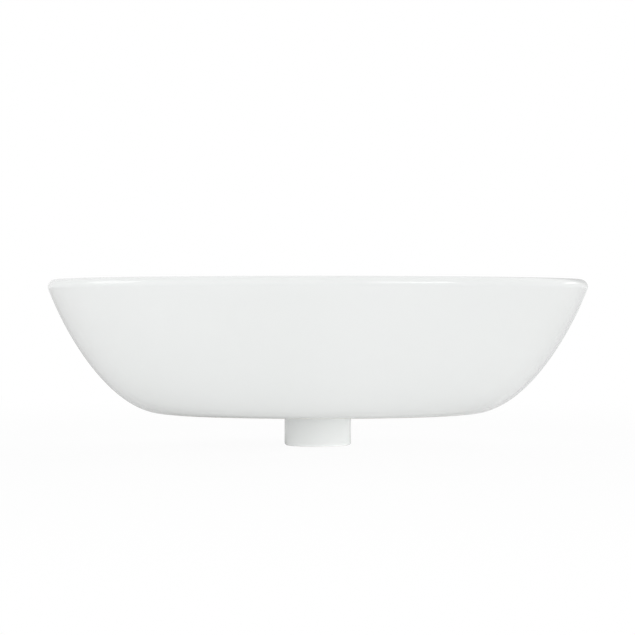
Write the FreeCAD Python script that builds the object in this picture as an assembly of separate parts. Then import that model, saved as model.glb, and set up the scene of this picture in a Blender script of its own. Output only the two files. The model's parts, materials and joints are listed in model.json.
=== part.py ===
import FreeCAD, Part
import math
import os

from FreeCAD import Vector

# A countertop basin with its push-to-close waste, in millimetres.
# The origin is on the outlet's axis in the plane of the counter, +Z is up and -Y is the front.
# The plug is drawn open, which is where its spring holds it.

# Bowl, outside
basin_width = 550.0
basin_depth = 400.0
rim_height = 137.0
rim_outer_radius = 8.0
rim_flat = 1.0
rim_inner_radius = 6.0
rim_crease_radius = 1.5
wall_rake = math.radians(20.5)  # lean of the wall from upright, just under the rim
wall_upper_handle = 41.0        # how long the wall keeps that lean
wall_lower_handle = 57.5        # how far out the wall starts to flatten into the base
base_width = 312.0

# Bowl, inside
floor_height = 17.0
floor_inset = 46.0              # from the edge of the base to the edge of the level floor
inner_upper_handle = 50.0
inner_lower_handle = 112.0

# Foot ring and underside
foot_lift = 0.5                 # the glazed wall stops this far above the counter
foot_inset = 2.0
foot_ring_width = 12.0
foot_ring_bond = 5.0            # how far the ring runs up into the body
underside_height = 3.0

# Outlet neck and the seats for the waste
neck_length = 32.0
neck_edge_radius = 3.0
neck_root_radius = 2.5
neck_bond = 2.0                 # how far the neck runs up into the body
skirt_wall = 6.0
skirt_edge_radius = 1.5
lower_seat_width = 5.0
clamp_thickness = 17.0          # ceramic held between the two seats
recess_gap = 1.0                # round the waste's flange
recess_lip_radius = 2.0

# Waste body
thread_diameter = 41.91         # G 1 1/4 pipe thread, drawn as a plain cylinder on its crests
thread_chamfer = 1.0
tail_wall = 3.0
tail_set_back = 2.0             # the tail ends this far inside the neck
relief_width = 1.2              # groove between the nut's thread and the trap's thread
relief_depth = 1.0
collar_step = 1.5               # the collar under the flange is this much wider than the thread
collar_length = 6.0
collar_gap = 0.5                # between the collar and the hole in the ceramic
throat_depth = 5.0              # cone of 45 degrees that the plug's seal closes on
flange_thickness = 2.5
flange_land = 6.0               # level ring between the cone and the flange's rounded edge
flange_edge_width = 3.0
flange_edge_height = 1.0
flange_gasket_thickness = 1.5
flange_gasket_inset = 1.0

# Spider inside the waste body
spider_depth = 33.0             # from the flange's top to the hub's top
hub_wall = 4.0
hub_height = 8.0
arm_count = 3
arm_width = 4.0
arm_height = 6.0
arm_bite = 1.0                  # how far an arm runs into the hub and into the tail's wall

# Pieces that clamp the waste from below
lower_gasket_thickness = 4.0
lower_gasket_side_gap = 1.0     # to the skirt's bore, as are the next two side gaps
lower_gasket_bevel = 1.5
slip_washer_thickness = 1.5
slip_washer_side_gap = 1.5
back_nut_height = 8.0
back_nut_side_gap = 2.0
back_nut_chamfer = 1.0
back_nut_slots = 6
back_nut_slot_width = 6.0
back_nut_slot_depth = 3.5
back_nut_slot_floor = 3.0       # metal left between a slot and the thread
thread_gap = 0.05               # between screwed pieces
washer_gap = 0.3                # between a washer and the thread inside it

# Cartridge
barrel_diameter = 18.0
barrel_wall = 2.4
barrel_neck_wall = 1.0          # under the collar's thread
barrel_floor = 2.5
barrel_flat_depth = 1.0         # of the two spanner flats
barrel_flat_height = 7.0
barrel_flat_lift = 2.0
barrel_collar_skirt = 5.0
barrel_collar_top = 3.0
barrel_collar_chamfer = 0.6
stud_diameter = 8.0
stud_tip = 1.5                  # thread that shows below the stud nut
stud_chamfer = 0.8
stud_nut_width = 13.0           # across flats
stud_nut_height = 4.0
stud_nut_chamfer = 0.5

# Plunger, rotor and spring
stem_diameter = 6.0
running_gap = 0.05              # round a shaft that slides or turns in a hole
moving_gap = 0.3                # between other pieces that move past each other
plunger_head_height = 4.0
rotor_height = 4.0
rotor_pin_diameter = 4.0
rotor_pin_tip = 1.0             # how far the pin shows below the rotor
teeth = 8
tooth_depth = 0.9
tooth_width = 2.4
spring_wire = 0.9
spring_side_gap = 1.15          # to the barrel's bore
spring_seat_gap = 0.1
spring_turns = 5.0

# Plug
plug_travel = 9.0
cap_inset = 3.0                 # the cap's edge lies this far inside the flange's edge
cap_edge_height = 1.8
cap_edge_radius = 0.8
cap_crown = 4.0
cap_crown_level = 14.0          # how far out the crown stays nearly level
cap_gap = 1.0                   # over the flange when the plug is shut
cap_boss_wall = 2.5
cap_boss_height = 2.0
cap_thread_depth = 5.5
shut_gap = 2.0                  # between the cap's boss and the cartridge when the plug is shut
carrier_gap = 2.0               # between the cartridge and the ring that carries the seal
seal_width = 3.0
seal_height = 4.0
seal_lip_height = 2.0
seal_bead_height = 1.2
seal_bead_width = 1.0

# Radii and heights that follow from the sizes above
rim_thickness = rim_outer_radius + rim_flat + rim_inner_radius
base_half_width = base_width / 2
outer_ratio = basin_depth / basin_width
inner_ratio = (basin_depth / 2 - rim_thickness) / (basin_width / 2 - rim_thickness)

thread_radius = thread_diameter / 2
bore_radius = thread_radius - tail_wall
throat_radius = bore_radius + throat_depth
flange_radius = throat_radius + flange_land + flange_edge_width
recess_radius = flange_radius + recess_gap
collar_radius = thread_radius + collar_step
waste_hole_radius = collar_radius + collar_gap
skirt_radius = waste_hole_radius + lower_seat_width
neck_radius = skirt_radius + skirt_wall

flange_underside = floor_height - flange_thickness
upper_seat = flange_underside - flange_gasket_thickness
lower_seat = upper_seat - clamp_thickness
slip_washer_top = lower_seat - lower_gasket_thickness
back_nut_top = slip_washer_top - slip_washer_thickness
back_nut_bottom = back_nut_top - back_nut_height
tail_end = tail_set_back - neck_length
throat_bottom = floor_height - throat_depth

stud_radius = stud_diameter / 2
hub_radius = stud_radius + hub_wall
hub_top = floor_height - spider_depth
hub_bottom = hub_top - hub_height
stud_end = hub_bottom - stud_nut_height - stud_tip

barrel_radius = barrel_diameter / 2
barrel_bore_radius = barrel_radius - barrel_wall
barrel_thread_radius = barrel_bore_radius + barrel_neck_wall
barrel_top = floor_height + cap_gap - cap_boss_height - shut_gap - barrel_collar_top
chamber_floor = hub_top + barrel_floor
collar_skirt_end = barrel_top - barrel_collar_skirt

stem_radius = stem_diameter / 2
piston_radius = barrel_bore_radius - moving_gap
head_bottom = barrel_top - plunger_head_height
rotor_top = head_bottom - moving_gap
rotor_bottom = rotor_top - rotor_height
rotor_pin_radius = rotor_pin_diameter / 2

cap_radius = flange_radius - cap_inset
cap_underside = floor_height + cap_gap + plug_travel
cap_edge_top = cap_underside + cap_edge_height
cap_boss_bottom = cap_underside - cap_boss_height
stem_top = cap_boss_bottom + cap_thread_depth
seal_bottom = cap_underside - seal_height
seal_toe_radius = bore_radius + seal_bottom - plug_travel - throat_bottom - moving_gap * math.sqrt(2)
seal_lip_radius = seal_toe_radius + seal_lip_height
carrier_radius = seal_toe_radius - seal_width
carrier_bore_radius = barrel_radius + carrier_gap


def point(radius, height):
    """A place in the XZ plane, which the turned pieces are drawn in."""
    return Vector(radius, 0, height)


def line(start, end):
    return Part.LineSegment(start, end).toShape()


def arc(centre, radius, start_angle, end_angle):
    """An arc in the XZ plane, with its angles in radians from +X towards +Z."""
    angles = (start_angle, (start_angle + end_angle) / 2, end_angle)
    places = [centre + point(radius * math.cos(a), radius * math.sin(a)) for a in angles]
    return Part.Arc(*places).toShape()


def curve(poles):
    """A smooth stretch of outline, pulled towards its two middle poles."""
    bezier = Part.BezierCurve()
    bezier.setPoles(poles)
    return bezier.toShape()


def first(edge):
    return edge.valueAt(edge.FirstParameter)


def last(edge):
    return edge.valueAt(edge.LastParameter)


def turned(pieces):
    """A solid turned about Z from an outline of points and of edges, joined by straight lines."""
    edges = []
    ends = [(piece, piece) if isinstance(piece, Vector) else (first(piece), last(piece)) for piece in pieces]
    for number, piece in enumerate(pieces):
        if not isinstance(piece, Vector):
            edges.append(piece)
        here = ends[number][1]
        there = ends[(number + 1) % len(pieces)][0]
        if not here.isEqual(there, 1e-6):
            edges.append(line(here, there))
    face = Part.Face(Part.Wire(edges))
    return face.revolve(Vector(0, 0, 0), Vector(0, 0, 1), 360)


def ring(inner_radius, outer_radius, bottom, top):
    outline = [(inner_radius, bottom), (outer_radius, bottom), (outer_radius, top), (inner_radius, top)]
    return turned([point(*place) for place in outline])


def block(width, depth, bottom, top, start=0.0):
    """A box that runs along +X from start, centred on the X axis."""
    return Part.makeBox(width, depth, top - bottom, Vector(start, -depth / 2, bottom))


def around(shape, count):
    """Copies of a shape at equal steps about Z."""
    copies = []
    for number in range(count):
        copy = shape.copy()
        copy.rotate(Vector(0, 0, 0), Vector(0, 0, 1), number * 360 / count)
        copies.append(copy)
    return copies


def oval(shape, ratio):
    """A turned shape drawn in along Y."""
    matrix = FreeCAD.Matrix()
    matrix.A22 = ratio
    return shape.transformGeometry(matrix)


def oval_prism(half_width, half_depth, bottom, top):
    ends = [Vector(half_width, 0, bottom), Vector(0, half_depth, bottom)]
    ends.sort(key=lambda end: -math.hypot(end.x, end.y))
    outline = Part.Ellipse(ends[0], ends[1], Vector(0, 0, bottom)).toShape()
    return Part.Face(Part.Wire(outline)).extrude(Vector(0, 0, top - bottom))


def rake_step(length):
    """A step down a wall that leans in at the rake."""
    return point(-length * math.sin(wall_rake), -length * math.cos(wall_rake))


def bowl_outside():
    half_width = basin_width / 2
    rim_centre = point(half_width - rim_outer_radius, rim_height - rim_outer_radius)
    crease_centre = point(half_width - rim_crease_radius, rim_height - rim_outer_radius)
    rim = arc(rim_centre, rim_outer_radius, 0, math.pi / 2)
    crease = arc(crease_centre, rim_crease_radius, -wall_rake, 0)
    wall_top = first(crease)
    base_edge = point(base_half_width, foot_lift)
    base_handle = base_edge + point(wall_lower_handle, 0)
    wall = curve([base_edge, base_handle, wall_top + rake_step(wall_upper_handle), wall_top])
    outline = [point(0, foot_lift), wall, crease, rim, point(0, rim_height)]
    return oval(turned(outline), outer_ratio)


def bowl_inside():
    """The space inside the bowl, open above the rim."""
    rim_edge = basin_width / 2 - rim_outer_radius - rim_flat
    rim_centre = point(rim_edge, rim_height - rim_inner_radius)
    rim = arc(rim_centre, rim_inner_radius, math.pi - wall_rake, math.pi / 2)
    wall_top = first(rim)
    floor_edge = point(base_half_width - floor_inset, floor_height)
    floor_handle = floor_edge + point(inner_lower_handle, 0)
    wall = curve([floor_edge, floor_handle, wall_top + rake_step(inner_upper_handle), wall_top])
    above = rim_height + rim_inner_radius
    outline = [point(0, floor_height), wall, rim, point(rim_edge, above), point(0, above)]
    return oval(turned(outline), inner_ratio)


def foot_ring():
    half_width = base_half_width - foot_inset
    return oval_prism(half_width, half_width * outer_ratio, 0, foot_lift + foot_ring_bond)


def underside_space():
    """The hollow inside the foot ring, which runs down past the ring's face."""
    half_width = base_half_width - foot_inset - foot_ring_width
    half_depth = (base_half_width - foot_inset) * outer_ratio - foot_ring_width
    return oval_prism(half_width, half_depth, -foot_lift, underside_height)


def neck():
    edge_centre = point(neck_radius - neck_edge_radius, neck_edge_radius - neck_length)
    root_centre = point(neck_radius + neck_root_radius, underside_height - neck_root_radius)
    edge = arc(edge_centre, neck_edge_radius, -math.pi / 2, 0)
    root = arc(root_centre, neck_root_radius, math.pi, math.pi / 2)
    bond_top = underside_height + neck_bond
    bond_edge = point(neck_radius + neck_root_radius, bond_top)
    return turned([point(0, -neck_length), edge, root, bond_edge, point(0, bond_top)])


def drain_space():
    """The hole for the waste, with the flange's recess above it and the skirt's bore below it."""
    skirt_centre = point(skirt_radius + skirt_edge_radius, skirt_edge_radius - neck_length)
    lip_centre = point(recess_radius + recess_lip_radius, floor_height - recess_lip_radius)
    skirt_edge = arc(skirt_centre, skirt_edge_radius, -math.pi / 2, -math.pi)
    lip = arc(lip_centre, recess_lip_radius, math.pi, math.pi / 2)
    below = -neck_length - skirt_edge_radius
    above = floor_height + recess_lip_radius
    outline = [
        point(0, below),
        point(skirt_radius + skirt_edge_radius, below),
        skirt_edge,
        point(skirt_radius, lower_seat),
        point(waste_hole_radius, lower_seat),
        point(waste_hole_radius, upper_seat),
        point(recess_radius, upper_seat),
        lip,
        point(recess_radius + recess_lip_radius, above),
        point(0, above),
    ]
    return turned(outline)


def basin():
    body = bowl_outside().fuse(foot_ring()).cut(underside_space())
    return body.fuse(neck()).cut(bowl_inside()).cut(drain_space()).removeSplitter()


def waste_shell():
    """The flange, collar and threaded tail, with the cone and the bore inside them."""
    edge_foot = point(flange_radius, flange_underside + flange_edge_height)
    edge_head = point(flange_radius - flange_edge_width, floor_height)
    edge_pull = point(flange_radius, floor_height)
    outline = [
        point(collar_radius, flange_underside),
        point(flange_radius, flange_underside),
        curve([edge_foot, edge_pull, edge_head]),
        point(throat_radius, floor_height),
        point(bore_radius, throat_bottom),
        point(bore_radius, tail_end),
        point(thread_radius - thread_chamfer, tail_end),
        point(thread_radius, tail_end + thread_chamfer),
        point(thread_radius, back_nut_bottom - relief_width),
        point(thread_radius - relief_depth, back_nut_bottom - relief_width),
        point(thread_radius - relief_depth, back_nut_bottom),
        point(thread_radius, back_nut_bottom),
        point(thread_radius, flange_underside - collar_length),
        point(collar_radius, flange_underside - collar_length),
    ]
    return turned(outline)


def waste_body():
    hub = ring(0, hub_radius, hub_bottom, hub_top)
    arm_bottom = hub_top - (hub_height + arm_height) / 2
    arm_start = hub_radius - arm_bite
    arm = block(bore_radius + arm_bite - arm_start, arm_width, arm_bottom, arm_bottom + arm_height, arm_start)
    spider = hub.fuse(around(arm, arm_count))
    stud_hole = ring(0, stud_radius + thread_gap, hub_bottom, hub_top)
    return waste_shell().fuse(spider).cut(stud_hole).removeSplitter()


def flange_gasket():
    return ring(waste_hole_radius, flange_radius - flange_gasket_inset, upper_seat, flange_underside)


def lower_gasket():
    radius = skirt_radius - lower_gasket_side_gap
    outline = [
        (thread_radius + washer_gap, slip_washer_top),
        (radius - lower_gasket_bevel, slip_washer_top),
        (radius, slip_washer_top + lower_gasket_bevel),
        (radius, lower_seat),
        (thread_radius + washer_gap, lower_seat),
    ]
    return turned([point(*place) for place in outline])


def slip_washer():
    radius = skirt_radius - slip_washer_side_gap
    return ring(thread_radius + washer_gap, radius, back_nut_top, slip_washer_top)


def back_nut():
    radius = skirt_radius - back_nut_side_gap
    bore = thread_radius + thread_gap
    outline = [
        (bore, back_nut_bottom),
        (radius - back_nut_chamfer, back_nut_bottom),
        (radius, back_nut_bottom + back_nut_chamfer),
        (radius, back_nut_top),
        (bore, back_nut_top),
    ]
    slot_start = bore + back_nut_slot_floor
    slot_top = back_nut_bottom + back_nut_slot_depth
    slot = block(radius, back_nut_slot_width, back_nut_bottom - back_nut_chamfer, slot_top, slot_start)
    return turned([point(*place) for place in outline]).cut(around(slot, back_nut_slots))


def cartridge_barrel():
    outline = [
        (0, stud_end),
        (stud_radius - stud_chamfer, stud_end),
        (stud_radius, stud_end + stud_chamfer),
        (stud_radius, hub_top),
        (barrel_radius, hub_top),
        (barrel_radius, collar_skirt_end),
        (barrel_thread_radius, collar_skirt_end),
        (barrel_thread_radius, barrel_top),
        (barrel_bore_radius, barrel_top),
        (barrel_bore_radius, chamber_floor),
        (0, chamber_floor),
    ]
    flat_bottom = hub_top + barrel_flat_lift
    flat_start = barrel_radius - barrel_flat_depth
    flat = block(barrel_radius, barrel_diameter, flat_bottom, flat_bottom + barrel_flat_height, flat_start)
    return turned([point(*place) for place in outline]).cut(around(flat, 2))


def barrel_collar():
    top = barrel_top + barrel_collar_top
    thread = barrel_thread_radius + thread_gap
    outline = [
        (stem_radius + running_gap, barrel_top),
        (thread, barrel_top),
        (thread, collar_skirt_end),
        (barrel_radius, collar_skirt_end),
        (barrel_radius, top - barrel_collar_chamfer),
        (barrel_radius - barrel_collar_chamfer, top),
        (stem_radius + running_gap, top),
    ]
    return turned([point(*place) for place in outline])


def stud_nut():
    bottom = hub_bottom - stud_nut_height
    corner_radius = stud_nut_width / math.sqrt(3)
    corners = [Vector(corner_radius * math.cos(a), corner_radius * math.sin(a), bottom)
               for a in (math.radians(60 * number) for number in range(6))]
    prism = Part.Face(Part.makePolygon(corners + corners[:1])).extrude(Vector(0, 0, stud_nut_height))
    hole = stud_radius + thread_gap
    outline = [
        (hole, bottom),
        (corner_radius - stud_nut_chamfer, bottom),
        (corner_radius, bottom + stud_nut_chamfer),
        (corner_radius, hub_bottom - stud_nut_chamfer),
        (corner_radius - stud_nut_chamfer, hub_bottom),
        (hole, hub_bottom),
    ]
    return prism.common(turned([point(*place) for place in outline]))


def tooth_notches(start, face, depth):
    """Saw-tooth notches that run outwards across a level face; a negative depth cuts downwards."""
    half = tooth_width / 2
    outside = face - depth
    places = [(-half, outside), (half, outside), (half, face + depth), (-half, face)]
    corners = [Vector(start, across, height) for across, height in places]
    notch = Part.Face(Part.makePolygon(corners + corners[:1])).extrude(Vector(piston_radius, 0, 0))
    return around(notch, teeth)


def plunger():
    outline = [
        (0, rotor_bottom - rotor_pin_tip),
        (rotor_pin_radius, rotor_bottom - rotor_pin_tip),
        (rotor_pin_radius, head_bottom),
        (piston_radius, head_bottom),
        (piston_radius, barrel_top),
        (stem_radius, barrel_top),
        (stem_radius, stem_top),
        (0, stem_top),
    ]
    notches = tooth_notches(rotor_pin_radius + running_gap, head_bottom, tooth_depth)
    return turned([point(*place) for place in outline]).cut(notches)


def ratchet_rotor():
    body = ring(rotor_pin_radius + running_gap, piston_radius, rotor_bottom, rotor_top)
    return body.cut(tooth_notches(0, rotor_top, -tooth_depth))


def helix_place(angle, radius, bottom, rise_per_turn):
    height = bottom + rise_per_turn * angle / (2 * math.pi)
    return Vector(radius * math.cos(angle), radius * math.sin(angle), height)


def helix_direction(angle, radius, rise_per_turn):
    step = Vector(-radius * math.sin(angle), radius * math.cos(angle), rise_per_turn / (2 * math.pi))
    return step.normalize()


def tangent_arc(start, direction, end):
    """The arc that leaves start along direction and reaches end."""
    chord = end - start
    along = Vector(chord).normalize()
    aside = (direction - along * direction.dot(along)).normalize()
    turn = math.acos(direction.dot(along))
    middle = start + chord * 0.5 + aside * (chord.Length / 2 * math.tan(turn / 2))
    return Part.Arc(start, middle, end).toShape()


def biarc(start, start_direction, end, end_direction):
    """Two tangent arcs from one place and direction to another."""
    gap = end - start
    both = start_direction + end_direction
    spread = 2 * (1 - start_direction.dot(end_direction))
    reach = (math.sqrt(gap.dot(both) ** 2 + spread * gap.dot(gap)) - gap.dot(both)) / spread
    middle = (start + start_direction * reach + end - end_direction * reach) * 0.5
    middle_direction = (end - end_direction * reach - start - start_direction * reach).normalize()
    return [tangent_arc(start, start_direction, middle), tangent_arc(middle, middle_direction, end)]


def click_spring():
    radius = barrel_bore_radius - spring_side_gap - spring_wire / 2
    bottom = chamber_floor + spring_seat_gap + spring_wire / 2
    rise = (rotor_bottom - spring_seat_gap - spring_wire / 2 - bottom) / spring_turns
    steps = round(spring_turns * 4)
    angles = [2 * math.pi * spring_turns * number / steps for number in range(steps + 1)]
    edges = []
    for start, end in zip(angles, angles[1:]):
        edges += biarc(helix_place(start, radius, bottom, rise), helix_direction(start, radius, rise),
                       helix_place(end, radius, bottom, rise), helix_direction(end, radius, rise))
    section = Part.Circle(first(edges[0]), helix_direction(0, radius, rise), spring_wire / 2).toShape()
    print("spring: least gap between turns %.2f" % least_turn_gap(edges))
    return Part.Wire(edges).makePipeShell([Part.Wire(section)], True, False)


def least_turn_gap(edges):
    """The least clear space between one turn of the spring and the next, measured on points of the wire."""
    samples_per_edge = 6
    places = [place for edge in edges for place in edge.discretize(samples_per_edge)[:-1]]
    half_turn = 4 * samples_per_edge - 4
    gaps = [(places[a] - places[b]).Length
            for a in range(len(places)) for b in range(a + half_turn, len(places))]
    return min(gaps) - spring_wire


def plug_seal():
    outline = [
        (carrier_radius, seal_bottom),
        (seal_toe_radius, seal_bottom),
        (seal_lip_radius, seal_bottom + seal_lip_height),
        (seal_lip_radius, cap_underside),
        (carrier_radius, cap_underside),
    ]
    return turned([point(*place) for place in outline])


def plug_cap():
    thread = stem_radius + thread_gap
    boss_radius = thread + cap_boss_wall
    bead_radius = carrier_radius + seal_bead_width
    bead_bottom = seal_bottom - seal_bead_height
    crown_height = cap_edge_top + cap_crown
    crown_pull = point(cap_crown_level, crown_height)
    edge_centre = point(cap_radius - cap_edge_radius, cap_underside + cap_edge_radius)
    outline = [
        point(thread, cap_boss_bottom),
        point(boss_radius, cap_boss_bottom),
        point(boss_radius, cap_underside),
        point(carrier_bore_radius, cap_underside),
        point(carrier_bore_radius, bead_bottom),
        point(bead_radius, bead_bottom),
        point(bead_radius, seal_bottom),
        point(carrier_radius, seal_bottom),
        point(carrier_radius, cap_underside),
        arc(edge_centre, cap_edge_radius, -math.pi / 2, 0),
        curve([point(cap_radius, cap_edge_top), crown_pull, point(0, crown_height)]),
        point(0, stem_top),
        point(thread, stem_top),
    ]
    return turned(outline)


pieces = [
    basin, waste_body, flange_gasket, lower_gasket, slip_washer, back_nut,
    cartridge_barrel, barrel_collar, stud_nut, click_spring, ratchet_rotor,
    plunger, plug_seal, plug_cap,
]

os.makedirs("parts", exist_ok=True)
for make in pieces:
    name = make.__name__
    shape = make()
    print("%s: valid %s, solids %d, volume %.1f" % (name, shape.isValid(), len(shape.Solids), shape.Volume))
    shape.exportStep("parts/%s.step" % name)
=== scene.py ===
import json
import math

import bmesh
import bpy
from mathutils import Matrix, Vector
from mathutils.geometry import interpolate_bezier


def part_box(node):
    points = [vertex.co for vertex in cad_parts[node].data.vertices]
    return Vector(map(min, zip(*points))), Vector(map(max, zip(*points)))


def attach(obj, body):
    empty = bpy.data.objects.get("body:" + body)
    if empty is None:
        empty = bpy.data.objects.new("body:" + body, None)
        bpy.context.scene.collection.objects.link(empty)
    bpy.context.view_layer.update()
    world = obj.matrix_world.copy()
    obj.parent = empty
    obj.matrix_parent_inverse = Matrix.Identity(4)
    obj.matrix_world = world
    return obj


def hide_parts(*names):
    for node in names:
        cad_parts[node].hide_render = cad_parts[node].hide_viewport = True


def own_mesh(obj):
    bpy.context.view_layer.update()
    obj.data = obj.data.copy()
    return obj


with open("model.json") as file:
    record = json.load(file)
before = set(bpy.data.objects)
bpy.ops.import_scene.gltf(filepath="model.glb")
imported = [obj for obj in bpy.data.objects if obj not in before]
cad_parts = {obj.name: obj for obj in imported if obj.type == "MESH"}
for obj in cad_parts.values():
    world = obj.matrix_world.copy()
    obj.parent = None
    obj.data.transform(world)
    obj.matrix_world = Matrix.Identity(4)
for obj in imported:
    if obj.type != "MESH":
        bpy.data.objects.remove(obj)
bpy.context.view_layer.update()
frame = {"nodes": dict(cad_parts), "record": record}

# Camera, fitted to the photograph: level, straight in front, a little below the rim
CAMERA_PLACE = (-0.0003, -2.137, 0.0983)
IMAGE_WIDTH_PIXELS = 635
FOCAL_LENGTH_PIXELS = 2091
SENSOR_WIDTH_MM = 36

# Studio floor
WHITE = (1, 1, 1, 1)
FLOOR_SIZE = 12.0
FLOOR_COLOURS = ((0.74, 0.74, 0.74, 1), (0.76, 0.76, 0.76, 1))
FLOOR_MIRRORED_LEFT = (0.515, 0.515, 0.515, 1)  # the floor near the basin, as the glaze shows it
FLOOR_MIRRORED_RIGHT = (0.645, 0.645, 0.645, 1)
FLOOR_SHADOW_NEAR = 0.3         # the faint shadow on the floor fades out between these two distances
FLOOR_SHADOW_FAR = 1.3
FLOOR_SHADOW_SEEN = 0.06        # share of the real shadow that the eye sees
FLOOR_SHADOW_MIRRORED = 0.9     # share of it that shows in the glaze and the metal
FLOOR_MIRRORED_FAR = 6.0        # and the distance at which that fades out
FLOOR_GLOW = 0.254              # light that comes up through the floor near the basin
FLOOR_GLOW_NEAR = 0.15          # it fades out between these two distances
FLOOR_GLOW_FAR = 0.6
FLOOR_GLOW_UNDER = 0.535        # how much more of it there is under the base, on the neck's right
FLOOR_BLEND = 0.07              # half the width in which the floor's left side passes into its right

# Studio light
FILL_LEVEL = 0.354
MIRRORED_LEVEL = 0.85           # how white the studio is in the glaze and the metal
SOFT_FILLS = (                  # azimuth, elevation and level of broad lights
    (-55, 6, 1.84),
    (0, 6, 0.72),
    (60, 15, 0.8),
    (120, 6, 1.9),
    (180, 45, 1.6),
)
SOFT_FILL_SHARPNESS = 6
DARK_CARD = (160, 20)           # azimuth and elevation of a card that the rim's right end mirrors
DARK_CARD_LEVEL = 0.42
DARK_CARD_SHARPNESS = 28
LAMP_DISTANCE = 2.2
LAMP_AIM_HEIGHT = 0.06
LAMPS = (                       # name, azimuth, elevation, width, height and level of the softboxes
    ("front_right_softbox", 32, 22, 1.1, 0.2, 5.2),
    ("left_softbox", -84, 27, 1.05, 0.75, 1.35),
    ("right_rear_softbox", 123, 19, 0.55, 0.14, 2.0),
)

# Basin, cast in one piece, in metres
BASIN_LOW, BASIN_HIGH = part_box("basin")
HALF_WIDTH = min(BASIN_HIGH.x, -BASIN_LOW.x)
HALF_DEPTH = min(BASIN_HIGH.y, -BASIN_LOW.y)
RIM_TOP = BASIN_HIGH.z
RIM_OUTER_RADIUS = 0.008
RIM_FLAT = 0.001
RIM_INNER_RADIUS = 0.006
CREASE_RADIUS = 0.005           # rounding between the rim's band and the wall
WALL_RAKE = 20.5                # degrees that the wall leans in below the rim
WALL_UPPER_PULL = 0.041         # how long the wall keeps that lean
WALL_LOWER_PULL = 0.0575        # how far out the wall starts to flatten into the base
INNER_UPPER_PULL = 0.050        # the same two for the bowl's inside
INNER_LOWER_PULL = 0.112
BASE_HALF_WIDTH = 0.156
BOWL_FLOOR = 0.017
BOWL_FLOOR_INSET = 0.046
FOOT_LIFT = 0.0005              # height of the wall's lower edge above the foot's face
FOOT_INSET = 0.002
FOOT_HALF_WIDTH = BASE_HALF_WIDTH - FOOT_INSET
FOOT_WIDTH = 0.012
UNDERSIDE = 0.003
NECK_END = BASIN_LOW.z
NECK_RADIUS = 0.033955
NECK_EDGE_RADIUS = 0.003
NECK_ROOT_RADIUS = 0.0025
NECK_WALL = 0.006
SKIRT_RADIUS = NECK_RADIUS - NECK_WALL     # the space inside the neck
SKIRT_EDGE_RADIUS = 0.0015
LOWER_SEAT_WIDTH = 0.005
WASTE_HOLE_RADIUS = SKIRT_RADIUS - LOWER_SEAT_WIDTH
UPPER_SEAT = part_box("flange_gasket")[0].z
LOWER_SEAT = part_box("lower_gasket")[1].z
RECESS_GAP = 0.001
RECESS_LIP_RADIUS = 0.002
BASIN_STEPS = 288
WALL_STEPS = 72
ARC_STEPS = 10

# Pipe thread that the trap screws on to
THREAD_RADIUS = 0.020955
THREAD_PITCH = 0.002309
THREAD_DEPTH = 0.00148
THREAD_CREST = 0.00032          # half the width of the thread's crest
THREAD_STEPS = 72
THREAD_SINK = 0.0001            # how deep the ridge is set into the tail
ROOT_RADIUS = THREAD_RADIUS - THREAD_DEPTH

# Waste body, turned from bar, in metres
WASTE_LOW, WASTE_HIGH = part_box("waste_body")
FLANGE_RADIUS = WASTE_HIGH.x
FLANGE_TOP = WASTE_HIGH.z
TAIL_END = WASTE_LOW.z
FLANGE_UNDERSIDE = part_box("flange_gasket")[1].z
FLANGE_EDGE_HEIGHT = 0.001
FLANGE_EDGE_WIDTH = 0.003
FLANGE_EDGE_STEPS = 6
FLANGE_LAND = 0.006
THROAT_RADIUS = FLANGE_RADIUS - FLANGE_EDGE_WIDTH - FLANGE_LAND
THROAT_DEPTH = 0.005
BORE_RADIUS = THROAT_RADIUS - THROAT_DEPTH
COLLAR_STEP = 0.0015
COLLAR_RADIUS = THREAD_RADIUS + COLLAR_STEP
COLLAR_LENGTH = 0.006
COLLAR_BOTTOM = FLANGE_UNDERSIDE - COLLAR_LENGTH
NUT_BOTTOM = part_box("back_nut")[0].z
RELIEF_WIDTH = 0.0012
RELIEF_DEPTH = 0.001
RELIEF_BOTTOM = NUT_BOTTOM - RELIEF_WIDTH

# Turned pieces and their edges
TURNED_STEPS = 96
SHARP_ANGLE = math.radians(35)  # edges that turn more than this are broken
EDGE_BREAK = 0.00015
EDGE_BREAK_STEPS = 2

# Spider in the bore, which the cartridge's stud screws into
HUB_RADIUS = 0.008
HUB_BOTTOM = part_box("stud_nut")[1].z
HUB_HEIGHT = 0.008
HUB_TOP = HUB_BOTTOM + HUB_HEIGHT
STUD_HOLE_RADIUS = 0.00405
ARM_COUNT = 3
ARM_WIDTH = 0.004
ARM_HEIGHT = 0.006
ARM_BITE = 0.001                # how far an arm reaches into the hub and into the tail

# Spring in the cartridge: closed end turns and open turns between them
SPRING_LOW, SPRING_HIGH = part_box("click_spring")
WIRE_RADIUS = 0.00045
COIL_RADIUS = SPRING_HIGH.x - WIRE_RADIUS
CLOSED_TURNS = 1
OPEN_TURNS = 4
WIRE_SIDES = 12
COIL_STEPS = 40

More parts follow.
